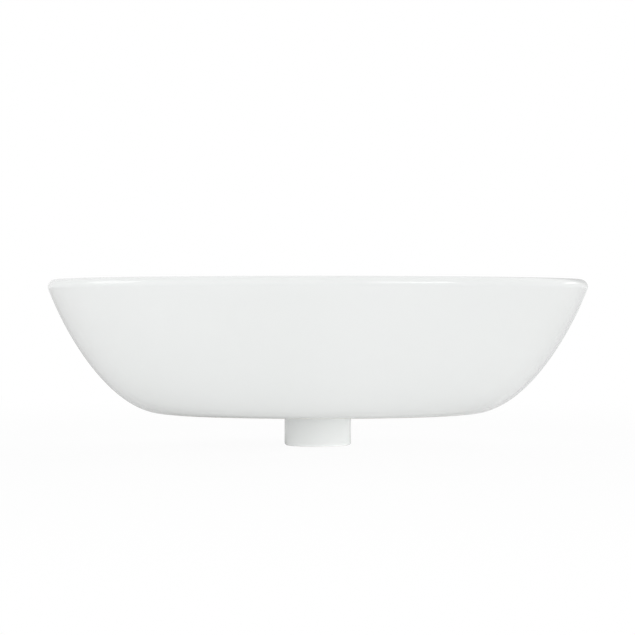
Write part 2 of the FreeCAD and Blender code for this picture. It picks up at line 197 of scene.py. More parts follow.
# Colours of the finishes, in pairs where a soft mottling mixes them
GLAZE_TONES = ((0.868, 0.884, 0.874, 1), (0.880, 0.894, 0.886, 1))
GLAZE_TINT = (0.872, 0.882, 0.880, 1)
GLAZE_POOLED = (0.845, 0.865, 0.862, 1)
PINHOLE = (0.45, 0.42, 0.38, 1)
FIRED_BODY_TONES = ((0.74, 0.70, 0.63, 1), (0.82, 0.79, 0.73, 1))
CHROME_TONES = ((0.70, 0.71, 0.73, 1), (0.76, 0.77, 0.785, 1))
WATER_MARK = (0.82, 0.82, 0.81, 1)
BRASS_TONES = ((0.80, 0.62, 0.33, 1), (0.62, 0.45, 0.22, 1))
TARNISH_SPOT = (0.36, 0.26, 0.14, 1)
RUBBER_TONES = ((0.028, 0.028, 0.029, 1), (0.060, 0.059, 0.057, 1))
RUBBER_DUST = (0.22, 0.21, 0.20, 1)
PLASTIC_TONES = ((0.80, 0.80, 0.765, 1), (0.86, 0.86, 0.835, 1))
STEEL_TONES = ((0.50, 0.50, 0.51, 1), (0.62, 0.62, 0.63, 1))

# Roughness of the finishes, in pairs from the smooth patches to the dull ones
GLAZE_ROUGHNESS = (0.16, 0.24)
GLAZE_COAT_ROUGHNESS = 0.035
FIRED_BODY_ROUGHNESS = 0.85
CHROME_ROUGHNESS = (0.05, 0.10)
BRASS_ROUGHNESS = (0.22, 0.42)
RUBBER_ROUGHNESS = (0.50, 0.72)
PLASTIC_ROUGHNESS = (0.34, 0.46)
STEEL_ROUGHNESS = 0.26

# Relief of the finishes, in metres
GLAZE_RIPPLE = 5e-6
GLAZE_PEEL = 4e-7
FIRED_BODY_GRAIN = 5e-5
CHROME_RIPPLE = 4e-6
TOOL_LINE_HEIGHT = 2e-5
RUBBER_GRAIN = 3e-5
PLASTIC_GRAIN = 1e-5
WIRE_LINE_HEIGHT = 1e-5

# Edges of the glaze, in metres
GLAZE_WANDER = 0.0001           # how far the edge wanders up and down
BARE_END = 0.0001               # the neck's end is bare up to this height and glazed from the next
GLAZED_END = 0.0003
POOL_HEIGHT = 0.0025            # how far from the crease the glaze lies thick
POOL_SHARE = 0.5                # how much of the pooled colour shows in the crease itself

# Patterns
NOISE_MIDDLE = (0.3, 0.7)       # most values of a noise lie between these two
HAIRLINE_STRETCH = (4.0, 90.0, 90.0)
HAIRLINE_CUT = (0.62, 0.72)     # the noise's values between which a hairline fades in
RING_WOBBLE = (0.0008, 0.0008, 0.0008)
RING_WOBBLE_SCALE = 400.0
RING_RADIUS = 0.12              # of the smallest drop, as a share of a cell
RING_RADIUS_MORE = 0.2          # how much more the largest one has
RING_WIDTH = 0.03

# Sockets of shader nodes
VECTOR = "NodeSocketVector"
FLOAT = "NodeSocketFloat"
MIX_SOCKETS = {"RGBA": (0, 6, 7, 2), "FLOAT": (0, 2, 3, 0)}  # factor, first, second and result


def link_or_set(tree, socket, value):
    """Joins a socket to another one, or gives it a plain value."""
    if isinstance(value, bpy.types.NodeSocket):
        tree.links.new(value, socket)
    else:
        socket.default_value = value


def add_node(tree, kind, inputs=None, **settings):
    """Adds one node with its settings and inputs, by name."""
    made = tree.nodes.new(kind)
    for name, value in settings.items():
        setattr(made, name, value)
    for name, value in (inputs or {}).items():
        link_or_set(tree, made.inputs[name], value)
    return made


def maths(tree, operation, *values):
    """One Math node on sockets or numbers."""
    made = add_node(tree, "ShaderNodeMath", operation=operation)
    for socket, value in zip(made.inputs, values):
        link_or_set(tree, socket, value)
    return made.outputs[0]


def vector_maths(tree, operation, *values):
    """One Vector Math node on sockets or vectors."""
    made = add_node(tree, "ShaderNodeVectorMath", operation=operation)
    for socket, value in zip(made.inputs, values):
        link_or_set(tree, socket, value)
    return made.outputs


def spread(tree, value, low, high, low_out=0.0, high_out=1.0):
    """Maps low to high smoothly on to low_out to high_out, and holds the ends."""
    made = add_node(tree, "ShaderNodeMapRange", interpolation_type="SMOOTHSTEP")
    for socket, number in zip(made.inputs, (value, low, high, low_out, high_out)):
        link_or_set(tree, socket, number)
    return made.outputs[0]


def mix(tree, kind, factor, first, second):
    """Mixes two colours or two numbers by a factor."""
    *given, result = MIX_SOCKETS[kind]
    made = add_node(tree, "ShaderNodeMix", data_type=kind)
    for index, value in zip(given, (factor, first, second)):
        link_or_set(tree, made.inputs[index], value)
    return made.outputs[result]


def mix_colours(tree, factor, first, second):
    """Mixes two colours by a factor."""
    return mix(tree, "RGBA", factor, first, second)


def mix_values(tree, factor, first, second):
    """Mixes two numbers by a factor."""
    return mix(tree, "FLOAT", factor, first, second)


def lay_over(tree, colour, top, mask, share):
    """Lays a colour over another one where a mask is, as strongly as a share says."""
    return mix_colours(tree, maths(tree, "MULTIPLY", mask, share), colour, top)


def add_share(tree, value, mask, share):
    """Adds a share of a mask to a value."""
    return maths(tree, "MULTIPLY_ADD", mask, share, value)


def distance_from(tree, place):
    """How far a place lies from the origin."""
    return vector_maths(tree, "LENGTH", place)["Value"]


def distance_from_axis(tree, parts):
    """How far a place, given in its three parts, lies from the Z axis."""
    flat = add_node(tree, "ShaderNodeCombineXYZ", {"X": parts["X"], "Y": parts["Y"]})
    return distance_from(tree, flat.outputs[0])


def bump(tree, height, distance, normal=None):
    """Turns a height from 0 to 1 into a normal, with the height in metres."""
    inputs = {"Strength": 1.0, "Distance": distance, "Height": height}
    if normal:
        inputs["Normal"] = normal
    return add_node(tree, "ShaderNodeBump", inputs).outputs["Normal"]


def new_group(name, inputs, outputs):
    """Starts a shader node group with named sockets, and gives its tree and its two ends."""
    tree = bpy.data.node_groups.new(name, "ShaderNodeTree")
    for label, kind, default in inputs:
        socket = tree.interface.new_socket(name=label, in_out="INPUT", socket_type=kind)
        if default is not None:
            socket.default_value = default
    for label, kind in outputs:
        tree.interface.new_socket(name=label, in_out="OUTPUT", socket_type=kind)
    return tree, tree.nodes.new("NodeGroupInput").outputs, tree.nodes.new("NodeGroupOutput").inputs


def use_group(tree, group, **inputs):
    """Places a group in a material with its own values."""
    made = add_node(tree, "ShaderNodeGroup", node_tree=group)
    for name, value in inputs.items():
        link_or_set(tree, made.inputs[name.replace("_", " ")], value)
    return made.outputs


def build_mottling():
    """Soft uneven tone, as a value between two limits."""
    tree, given, result = new_group(
        "soft_mottling",
        [("Vector", VECTOR, None), ("Scale", FLOAT, 10.0), ("Low", FLOAT, 0.0), ("High", FLOAT, 1.0)],
        [("Value", FLOAT)],
    )
    inputs = {"Vector": given["Vector"], "Scale": given["Scale"], "Detail": 3.0, "Roughness": 0.5}
    noise = add_node(tree, "ShaderNodeTexNoise", inputs)
    value = spread(tree, noise.outputs[0], *NOISE_MIDDLE, given["Low"], given["High"])
    tree.links.new(value, result["Value"])
    return tree


def scattered_cells(tree, place, scale, share):
    """Cells without order: how far their middle is, which are chosen, and a number for each."""
    cells = add_node(tree, "ShaderNodeTexVoronoi", {"Vector": place, "Scale": scale}).outputs
    chances = add_node(tree, "ShaderNodeSeparateColor", {"Color": cells["Color"]}).outputs
    chosen = maths(tree, "LESS_THAN", chances["Red"], share)
    return cells["Distance"], chosen, chances["Green"]


def build_specks():
    """Small round specks of uneven size."""
    tree, given, result = new_group(
        "small_specks",
        [("Vector", VECTOR, None), ("Scale", FLOAT, 100.0), ("Share", FLOAT, 0.1), ("Radius", FLOAT, 0.1)],
        [("Mask", FLOAT)],
    )
    distance, chosen, size = scattered_cells(tree, given["Vector"], given["Scale"], given["Share"])
    radius = maths(tree, "MULTIPLY", given["Radius"], size)
    inside = spread(tree, distance, 0.0, radius, 1.0, 0.0)
    tree.links.new(maths(tree, "MULTIPLY", chosen, inside), result["Mask"])
    return tree


def build_turning_lines():
    """Uneven tool lines that run round the Z axis, on flat ends and on round walls."""
    tree, given, result = new_group(
        "turning_lines",
        [("Vector", VECTOR, None), ("Lines per metre", FLOAT, 3000.0)],
        [("Height", FLOAT)],
    )
    parts = add_node(tree, "ShaderNodeSeparateXYZ", {"Vector": given["Vector"]}).outputs
    travel = maths(tree, "ADD", distance_from_axis(tree, parts), parts["Z"])
    along = maths(tree, "MULTIPLY", travel, given["Lines per metre"])
    inputs = {"W": along, "Scale": 1.0, "Detail": 2.0}
    noise = add_node(tree, "ShaderNodeTexNoise", inputs, noise_dimensions="1D")
    tree.links.new(noise.outputs[0], result["Height"])
    return tree


def build_scratches():
    """Fine short hairlines in all directions, as from wiping."""
    tree, given, result = new_group(
        "hair_scratches",
        [("Vector", VECTOR, None), ("Scale", FLOAT, 60.0)],
        [("Mask", FLOAT)],
    )
    bend = add_node(tree, "ShaderNodeTexNoise", {"Vector": given["Vector"], "Scale": given["Scale"]})
    turn = maths(tree, "MULTIPLY", bend.outputs[0], math.tau)
    inputs = {"Vector": given["Vector"], "Angle": turn}
    rotated = add_node(tree, "ShaderNodeVectorRotate", inputs, rotation_type="Z_AXIS")
    inputs = {"Vector": rotated.outputs[0], "Scale": HAIRLINE_STRETCH}
    stretched = add_node(tree, "ShaderNodeMapping", inputs)
    lines = add_node(tree, "ShaderNodeTexNoise", {"Vector": stretched.outputs[0], "Scale": given["Scale"]})
    tree.links.new(spread(tree, lines.outputs[0], *HAIRLINE_CUT), result["Mask"])
    return tree


def build_water_marks():
    """Thin rings that dried drops leave."""
    tree, given, result = new_group(
        "water_marks",
        [("Vector", VECTOR, None), ("Scale", FLOAT, 150.0), ("Share", FLOAT, 0.2)],
        [("Mask", FLOAT)],
    )
    inputs = {"Vector": given["Vector"], "Scale": RING_WOBBLE_SCALE}
    wobble = add_node(tree, "ShaderNodeTexNoise", inputs)
    shift = vector_maths(tree, "MULTIPLY", wobble.outputs[1], RING_WOBBLE)["Vector"]
    moved = vector_maths(tree, "ADD", given["Vector"], shift)["Vector"]
    distance, chosen, size = scattered_cells(tree, moved, given["Scale"], given["Share"])
    edge = add_share(tree, RING_RADIUS, size, RING_RADIUS_MORE)
    away = maths(tree, "ABSOLUTE", maths(tree, "SUBTRACT", distance, edge))
    ring = spread(tree, away, 0.0, RING_WIDTH, 1.0, 0.0)
    tree.links.new(maths(tree, "MULTIPLY", chosen, ring), result["Mask"])
    return tree


MOTTLING = build_mottling()
SPECKS = build_specks()
TURNING_LINES = build_turning_lines()
SCRATCHES = build_scratches()
WATER_MARKS = build_water_marks()


def start_material(name):
    """An empty material with a Principled shader, and the object's own coordinates."""
    material = bpy.data.materials.new(name)
    material.use_nodes = True
    tree = material.node_tree
    shader = tree.nodes["Principled BSDF"]
    place = tree.nodes.new("ShaderNodeTexCoord").outputs["Object"]
    return material, tree, shader, place


def set_shader(tree, shader, **inputs):
    """Joins or sets the shader's sockets by name."""
    for name, value in inputs.items():
        link_or_set(tree, shader.inputs[name.replace("_", " ")], value)


def mottled(tree, place, scale, low=0.0, high=1.0):
    """Soft uneven tone over a surface, between two values."""
    return use_group(tree, MOTTLING, Vector=place, Scale=scale, Low=low, High=high)["Value"]


def unglazed(tree, place, parts):
    """One on the faces that stand in the kiln. The glaze stops unevenly, a hair above them."""
    wander = mottled(tree, place, scale=220.0, low=-GLAZE_WANDER, high=GLAZE_WANDER)
    uneven = maths(tree, "ADD", parts["Z"], wander)
    on_foot = maths(tree, "COMPARE", uneven, 0.0, FOOT_LIFT / 2)
    radius = distance_from_axis(tree, parts)
    off_neck = maths(tree, "GREATER_THAN", radius, NECK_RADIUS + NECK_ROOT_RADIUS)
    foot = maths(tree, "MULTIPLY", on_foot, off_neck)
    end = spread(tree, uneven, NECK_END + BARE_END, NECK_END + GLAZED_END, 1.0, 0.0)
    return maths(tree, "MAXIMUM", foot, end)


def glaze_colour(tree, place, height):
    """Large soft patches, a cool tint where the glaze lies thick, and rare pinholes."""
    glaze = mix_colours(tree, mottled(tree, place, scale=7.0), *GLAZE_TONES)
    glaze = lay_over(tree, glaze, GLAZE_TINT, mottled(tree, place, scale=45.0), share=0.35)
    from_crease = maths(tree, "ABSOLUTE", maths(tree, "SUBTRACT", height, RIM_TOP - RIM_OUTER_RADIUS))
    pooled = spread(tree, from_crease, 0.0, POOL_HEIGHT, POOL_SHARE, 0.0)
    glaze = mix_colours(tree, pooled, glaze, GLAZE_POOLED)
    pinholes = use_group(tree, SPECKS, Vector=place, Scale=70.0, Share=0.05, Radius=0.03)["Mask"]
    return lay_over(tree, glaze, PINHOLE, pinholes, share=0.35)


def glazed_ceramic():
    """White glaze over a fired body, bare on the foot ring and on the end of the neck."""
    material, tree, shader, place = start_material("glazed_ceramic")
    parts = add_node(tree, "ShaderNodeSeparateXYZ", {"Vector": place}).outputs
    bare = unglazed(tree, place, parts)
    grain = mottled(tree, place, scale=900.0)
    body = mix_colours(tree, grain, *FIRED_BODY_TONES)
    colour = mix_colours(tree, bare, glaze_colour(tree, place, parts["Z"]), body)

    # An even glassy coat, with the slow ripple and fine orange peel of a fired glaze
    gloss = mottled(tree, place, 30.0, *GLAZE_ROUGHNESS)
    roughness = mix_values(tree, bare, gloss, FIRED_BODY_ROUGHNESS)
    coat = maths(tree, "SUBTRACT", 1.0, bare)
    normal = bump(tree, mottled(tree, place, scale=22.0), GLAZE_RIPPLE)
    normal = bump(tree, mottled(tree, place, scale=300.0), GLAZE_PEEL, normal)
    normal = bump(tree, maths(tree, "MULTIPLY", grain, bare), FIRED_BODY_GRAIN, normal)
    set_shader(tree, shader, Base_Color=colour, Roughness=roughness, Coat_Weight=coat, Normal=normal)
    set_shader(tree, shader, IOR=1.5, Specular_IOR_Level=0.2)
    set_shader(tree, shader, Coat_IOR=1.5, Coat_Roughness=GLAZE_COAT_ROUGHNESS)
    return material


def chrome():
    """Bright plating with dried water rings and hairlines."""
    material, tree, shader, place = start_material("chrome")
    marks = use_group(tree, WATER_MARKS, Vector=place, Scale=160.0, Share=0.22)["Mask"]
    lines = use_group(tree, SCRATCHES, Vector=place, Scale=40.0)["Mask"]
    haze = mottled(tree, place, 60.0, *CHROME_ROUGHNESS)
    roughness = add_share(tree, haze, marks, share=0.18)
    roughness = add_share(tree, roughness, lines, share=0.10)
    colour = mix_colours(tree, mottled(tree, place, scale=35.0), *CHROME_TONES)
    colour = lay_over(tree, colour, WATER_MARK, marks, share=0.25)
    normal = bump(tree, mottled(tree, place, scale=120.0), CHROME_RIPPLE)
    set_shader(tree, shader, Base_Color=colour, Roughness=roughness, Normal=normal)
    set_shader(tree, shader, Metallic=1.0)
    return material


def brass():
    """Turned brass with tool lines and a thin uneven tarnish."""
    material, tree, shader, place = start_material("brass")
    lines = use_group(tree, TURNING_LINES, Vector=place, Lines_per_metre=2600.0)["Height"]
    tarnish = mottled(tree, place, scale=110.0, high=0.7)
    spots = use_group(tree, SPECKS, Vector=place, Scale=260.0, Share=0.25, Radius=0.35)["Mask"]
    colour = mix_colours(tree, tarnish, *BRASS_TONES)
    colour = lay_over(tree, colour, TARNISH_SPOT, spots, share=0.4)
    roughness = mix_values(tree, tarnish, *BRASS_ROUGHNESS)
    normal = bump(tree, lines, TOOL_LINE_HEIGHT)
    set_shader(tree, shader, Base_Color=colour, Roughness=roughness, Normal=normal)
    set_shader(tree, shader, Metallic=1.0)
    return material


def black_rubber():
    """Moulded rubber with a dull bloom and a fine grain."""
    material, tree, shader, place = start_material("black_rubber")
    bloom = mottled(tree, place, scale=90.0)
    dust = use_group(tree, SPECKS, Vector=place, Scale=600.0, Share=0.12, Radius=0.3)["Mask"]
    colour = mix_colours(tree, bloom, *RUBBER_TONES)
    colour = lay_over(tree, colour, RUBBER_DUST, dust, share=0.5)
    roughness = mix_values(tree, bloom, *RUBBER_ROUGHNESS)
    normal = bump(tree, mottled(tree, place, scale=2500.0), RUBBER_GRAIN)
    set_shader(tree, shader, Base_Color=colour, Roughness=roughness, Normal=normal)
    set_shader(tree, shader, IOR=1.52)
    return material


def white_plastic():
    """Moulded plastic with faint flow marks and a soft sheen."""
    material, tree, shader, place = start_material("white_plastic")
    flow = mottled(tree, place, scale=70.0)
    colour = mix_colours(tree, flow, *PLASTIC_TONES)
    roughness = mix_values(tree, flow, *PLASTIC_ROUGHNESS)
    normal = bump(tree, mottled(tree, place, scale=1800.0), PLASTIC_GRAIN)
    set_shader(tree, shader, Base_Color=colour, Roughness=roughness, Normal=normal)
    set_shader(tree, shader, IOR=1.5)
    return material


def spring_steel():
    """Drawn wire with a dull grey skin."""
    material, tree, shader, place = start_material("spring_steel")
    lines = use_group(tree, SCRATCHES, Vector=place, Scale=90.0)["Mask"]
    colour = mix_colours(tree, mottled(tree, place, scale=300.0), *STEEL_TONES)
    roughness = add_share(tree, STEEL_ROUGHNESS, lines, share=0.15)
    normal = bump(tree, lines, WIRE_LINE_HEIGHT)
    set_shader(tree, shader, Base_Color=colour, Roughness=roughness, Normal=normal)
    set_shader(tree, shader, Metallic=1.0)
    return material


def join_corners(form, corners):
    """Edges along a closed outline."""
    return [form.edges.new(pair) for pair in zip(corners, corners[1:] + corners[:1])]


def turn_round(form, corners, steps):
    """Joins the corners of a closed outline and turns it once round the Z axis."""
    outline = corners + join_corners(form, corners)
    bmesh.ops.spin(form, geom=outline, axis=(0, 0, 1), angle=math.tau, steps=steps, use_merge=True)


def turned(form, outline):
    """Makes a turned metal piece from its outline of radius and height."""
    corners = [form.verts.new((radius, 0, height)) for radius, height in outline]
    turn_round(form, corners, TURNED_STEPS)
    break_edges(form)


def break_edges(form):
    """Rounds the sharp edges of a piece a little, so that they catch the light."""
    bmesh.ops.recalc_face_normals(form, faces=form.faces)
    sharp = [edge for edge in form.edges if edge.calc_face_angle(0) > SHARP_ANGLE]
    bmesh.ops.bevel(
        form, geom=sharp, offset=EDGE_BREAK, segments=EDGE_BREAK_STEPS, profile=0.5, affect="EDGES",
        material=-1, clamp_overlap=True,
    )


def join_into(form, other):
    """Adds another form to this one and frees it."""
    mesh = bpy.data.meshes.new("joining")
    other.to_mesh(mesh)
    other.free()
    form.from_mesh(mesh)
    bpy.data.meshes.remove(mesh)


def make_piece(form, name, finish, body, node):
    """Turns a form into a piece of the object that stands for a CAD node and moves with its body."""
    for face in form.faces:
        face.smooth = True
    for edge in form.edges:
        edge.smooth = edge.calc_face_angle(0) < SHARP_ANGLE
    mesh = bpy.data.meshes.new(name)
    form.to_mesh(mesh)
    form.free()
    mesh.materials.append(finish)
    piece = bpy.data.objects.new(name, mesh)
    bpy.context.scene.collection.objects.link(piece)
    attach(piece, body)
    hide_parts(node)
    return piece


def arc(radius_out, height, radius, start, end):
    """Places on an arc round a centre, with its angles in degrees from outwards to upwards."""
    centre = Vector((radius_out, height))
    angles = [math.radians(start + (end - start) * step / ARC_STEPS) for step in range(ARC_STEPS + 1)]
    return [centre + radius * Vector((math.cos(angle), math.sin(angle))) for angle in angles]


def wall_curve(top, top_pull, bottom, bottom_pull):
    """Places down a wall that starts at the rake and flattens out at its foot."""
    rake = math.radians(WALL_RAKE)
    lean = Vector((-math.sin(rake), -math.cos(rake)))
    level = Vector((1, 0))
    return interpolate_bezier(top, top + lean * top_pull, bottom + level * bottom_pull, bottom, WALL_STEPS)


def inside_outline():
    """From the rim's inner rounding down to the edge of the bowl's level floor."""
    rim_edge = HALF_WIDTH - RIM_OUTER_RADIUS - RIM_FLAT
    rim = arc(rim_edge, RIM_TOP - RIM_INNER_RADIUS, RIM_INNER_RADIUS, 90, 180 - WALL_RAKE)
    floor_edge = Vector((BASE_HALF_WIDTH - BOWL_FLOOR_INSET, BOWL_FLOOR))
    return rim[:-1] + wall_curve(rim[-1], INNER_UPPER_PULL, floor_edge, INNER_LOWER_PULL)


def drain_outline():
    """From the flange's recess down through the hole and the skirt, and up the outside of the neck."""
    recess = FLANGE_RADIUS + RECESS_GAP
    lip = arc(recess + RECESS_LIP_RADIUS, BOWL_FLOOR - RECESS_LIP_RADIUS, RECESS_LIP_RADIUS, 90, 180)
    skirt_edge = arc(
        SKIRT_RADIUS + SKIRT_EDGE_RADIUS, NECK_END + SKIRT_EDGE_RADIUS, SKIRT_EDGE_RADIUS, -180, -90
    )
    neck_edge = arc(NECK_RADIUS - NECK_EDGE_RADIUS, NECK_END + NECK_EDGE_RADIUS, NECK_EDGE_RADIUS, -90, 0)
    root = arc(NECK_RADIUS + NECK_ROOT_RADIUS, UNDERSIDE - NECK_ROOT_RADIUS, NECK_ROOT_RADIUS, 180, 90)
    seats = [
        (recess, UPPER_SEAT),
        (WASTE_HOLE_RADIUS, UPPER_SEAT),
        (WASTE_HOLE_RADIUS, LOWER_SEAT),
        (SKIRT_RADIUS, LOWER_SEAT),
    ]
    return lip + seats + skirt_edge + neck_edge + root


def foot_outline():
    """The inner side of the foot ring, from the underside down to its face."""
    inside = FOOT_HALF_WIDTH - FOOT_WIDTH
    return [(inside, UNDERSIDE), (inside, 0)]


def outside_outline():
    """From the foot's face up the outer wall to the top of the rim."""
    rim_foot = RIM_TOP - RIM_OUTER_RADIUS
    crease = arc(HALF_WIDTH - CREASE_RADIUS, rim_foot, CREASE_RADIUS, -WALL_RAKE, 0)
    rim = arc(HALF_WIDTH - RIM_OUTER_RADIUS, rim_foot, RIM_OUTER_RADIUS, 0, 90)
    base_edge = Vector((BASE_HALF_WIDTH, FOOT_LIFT))
    wall = wall_curve(crease[0], WALL_UPPER_PULL, base_edge, WALL_LOWER_PULL)
    foot = [(FOOT_HALF_WIDTH, 0), (FOOT_HALF_WIDTH, FOOT_LIFT)]
    return foot + wall[::-1] + crease[1:-1] + rim


def build_basin(finish):
    """The ceramic: one closed outline, turned round the neck and pressed to an oval stretch by stretch."""
    outer_oval = HALF_DEPTH / HALF_WIDTH
    rim_thickness = RIM_OUTER_RADIUS + RIM_FLAT + RIM_INNER_RADIUS
    inner_oval = (HALF_DEPTH - rim_thickness) / (HALF_WIDTH - rim_thickness)
    foot_oval = (FOOT_HALF_WIDTH * outer_oval - FOOT_WIDTH) / (FOOT_HALF_WIDTH - FOOT_WIDTH)
    stretches = (
        (inside_outline(), inner_oval),
        (drain_outline(), 1.0),
        (foot_outline(), foot_oval),
        (outside_outline(), outer_oval),
    )
    form = bmesh.new()
    oval = form.verts.layers.float.new("oval")
    corners = []
    for outline, share in stretches:
        for radius, height in outline:
            corner = form.verts.new((radius, 0, height))
            corner[oval] = share
            corners.append(corner)
    turn_round(form, corners, BASIN_STEPS)
    for corner in form.verts:
        corner.co.y *= corner[oval]
    form.verts.layers.float.remove(oval)
    break_edges(form)
    make_piece(form, "glazed_basin", finish, "basin_body", "basin")


def flange_edge():
    """The flange's rounded edge, from its foot up to the level land."""
    points = []
    for step in range(FLANGE_EDGE_STEPS + 1):
        share = step / FLANGE_EDGE_STEPS
        radius = FLANGE_RADIUS - FLANGE_EDGE_WIDTH * share ** 2
        foot = FLANGE_UNDERSIDE + FLANGE_EDGE_HEIGHT
        height = FLANGE_TOP - (FLANGE_TOP - foot) * (1 - share) ** 2
        points.append((radius, height))
    return points


def waste_shell():
    """Flange, cone, bore and tail, with the tail's lower stretch turned down to the thread's root."""
    form = bmesh.new()
    outline = [
        (COLLAR_RADIUS, FLANGE_UNDERSIDE),
        (FLANGE_RADIUS, FLANGE_UNDERSIDE),
        *flange_edge(),
        (THROAT_RADIUS, FLANGE_TOP),
        (BORE_RADIUS, FLANGE_TOP - THROAT_DEPTH),
        (BORE_RADIUS, TAIL_END),
        (ROOT_RADIUS, TAIL_END),
        (ROOT_RADIUS, RELIEF_BOTTOM),
        (THREAD_RADIUS - RELIEF_DEPTH, RELIEF_BOTTOM),
        (THREAD_RADIUS - RELIEF_DEPTH, NUT_BOTTOM),
        (THREAD_RADIUS, NUT_BOTTOM),
        (THREAD_RADIUS, COLLAR_BOTTOM),
        (COLLAR_RADIUS, COLLAR_BOTTOM),
    ]
    turned(form, outline)
    return form


def fade_ends(form, inside, bottom, top):
    """Lets the ridge of a thread run out into the tail at both ends."""
    for corner in form.verts:
        room = max(0.0, min(corner.co.z - bottom, top - corner.co.z))
        radius = math.hypot(corner.co.x, corner.co.y)
        allowed = inside + room
        if radius > allowed:
            corner.co.x *= allowed / radius
            corner.co.y *= allowed / radius
        corner.co.z = min(max(corner.co.z, bottom + THREAD_SINK), top - THREAD_SINK)


def thread_ridge():
    """The trap's thread: one ridge that winds up the tail."""
    form = bmesh.new()
    half = THREAD_PITCH / 2
    inside = ROOT_RADIUS - THREAD_SINK
    outline = (
        (inside, -half),
        (THREAD_RADIUS, -THREAD_CREST),
        (THREAD_RADIUS, THREAD_CREST),
        (inside, half),
    )
    corners = [form.verts.new((radius, 0, TAIL_END + height)) for radius, height in outline]
    section = corners + join_corners(form, corners)
    turns = math.ceil((RELIEF_BOTTOM - TAIL_END) / THREAD_PITCH)
    steps = turns * THREAD_STEPS
    rise = (0, 0, THREAD_PITCH / THREAD_STEPS)
    bmesh.ops.spin(form, geom=section, axis=(0, 0, 1), dvec=rise, angle=turns * math.tau, steps=steps)
    bmesh.ops.holes_fill(form, edges=form.edges)
    fade_ends(form, inside, TAIL_END, RELIEF_BOTTOM)
    bmesh.ops.recalc_face_normals(form, faces=form.faces)
    return form


def spider():
    """The hub for the cartridge's stud, held in the bore by its arms."""
    form = bmesh.new()
    outline = [
        (STUD_HOLE_RADIUS, HUB_BOTTOM),
        (HUB_RADIUS, HUB_BOTTOM),
        (HUB_RADIUS, HUB_TOP),
        (STUD_HOLE_RADIUS, HUB_TOP),
    ]
    turned(form, outline)
    start = HUB_RADIUS - ARM_BITE
    length = BORE_RADIUS + ARM_BITE - start
    middle = (HUB_BOTTOM + HUB_TOP) / 2
    for index in range(ARM_COUNT):
        arm = bmesh.new()
        bmesh.ops.create_cube(arm, size=1.0)
        bmesh.ops.scale(arm, verts=arm.verts, vec=(length, ARM_WIDTH, ARM_HEIGHT))
        bmesh.ops.translate(arm, verts=arm.verts, vec=(start + length / 2, 0, middle))
        turn = Matrix.Rotation(math.tau * index / ARM_COUNT, 3, "Z")
        bmesh.ops.rotate(arm, verts=arm.verts, matrix=turn)
        break_edges(arm)
        join_into(form, arm)
    return form


def build_waste_body(finish):
    """Chromed waste with its real thread."""
    form = waste_shell()
    join_into(form, thread_ridge())
    join_into(form, spider())
    make_piece(form, "threaded_waste", finish, "basin_body", "waste_body")


def wind(form, ring, turns, rise_per_turn):
    """Winds a ring of wire on round the Z axis, and gives the ring at the new end."""
    rise = (0, 0, rise_per_turn / COIL_STEPS)
    steps = turns * COIL_STEPS
    made = bmesh.ops.spin(form, geom=ring, axis=(0, 0, 1), dvec=rise, angle=turns * math.tau, steps=steps)
    return made["geom_last"]


def build_click_spring(finish):
    """The spring, which the plug squeezes as it is pushed shut."""
    form = bmesh.new()
    bmesh.ops.create_circle(form, segments=WIRE_SIDES, radius=WIRE_RADIUS)
    bmesh.ops.rotate(form, verts=form.verts, matrix=Matrix.Rotation(math.radians(90), 3, "X"))
    bmesh.ops.translate(form, verts=form.verts, vec=(COIL_RADIUS, 0, SPRING_LOW.z + WIRE_RADIUS))
    closed_rise = 2 * WIRE_RADIUS
    length = SPRING_HIGH.z - SPRING_LOW.z
    open_rise = (length - 2 * WIRE_RADIUS - 2 * CLOSED_TURNS * closed_rise) / OPEN_TURNS
    ring = list(form.verts) + list(form.edges)
    for turns, rise in ((CLOSED_TURNS, closed_rise), (OPEN_TURNS, open_rise), (CLOSED_TURNS, closed_rise)):
        ring = wind(form, ring, turns, rise)
    bmesh.ops.holes_fill(form, edges=form.edges)
    bmesh.ops.recalc_face_normals(form, faces=form.faces)
    piece = make_piece(form, "coiled_spring", finish, "basin_body", "click_spring")
    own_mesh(piece)


def direction_to(azimuth, elevation):
    """Points from the basin outwards. Azimuth goes from the front to the right, in degrees."""
    turn = math.radians(azimuth)
    lift = math.radians(elevation)
    return Vector((math.sin(turn) * math.cos(lift), -math.cos(turn) * math.cos(lift), math.sin(lift)))


def eye_and_mirror(tree):
    """One for what the camera sees, and one for what a mirror or glass shows."""
    path = tree.nodes.new("ShaderNodeLightPath").outputs
    return path["Is Camera Ray"], maths(tree, "MAXIMUM", path["Is Glossy Ray"], path["Is Transmission Ray"])


def soft_spot(tree, away, azimuth, elevation, sharpness):
    """One in a direction, falling off softly to nothing round it."""
    facing = vector_maths(tree, "DOT_PRODUCT", away, direction_to(azimuth, elevation))["Value"]
    return maths(tree, "POWER", maths(tree, "MAXIMUM", facing, 0.0), sharpness)


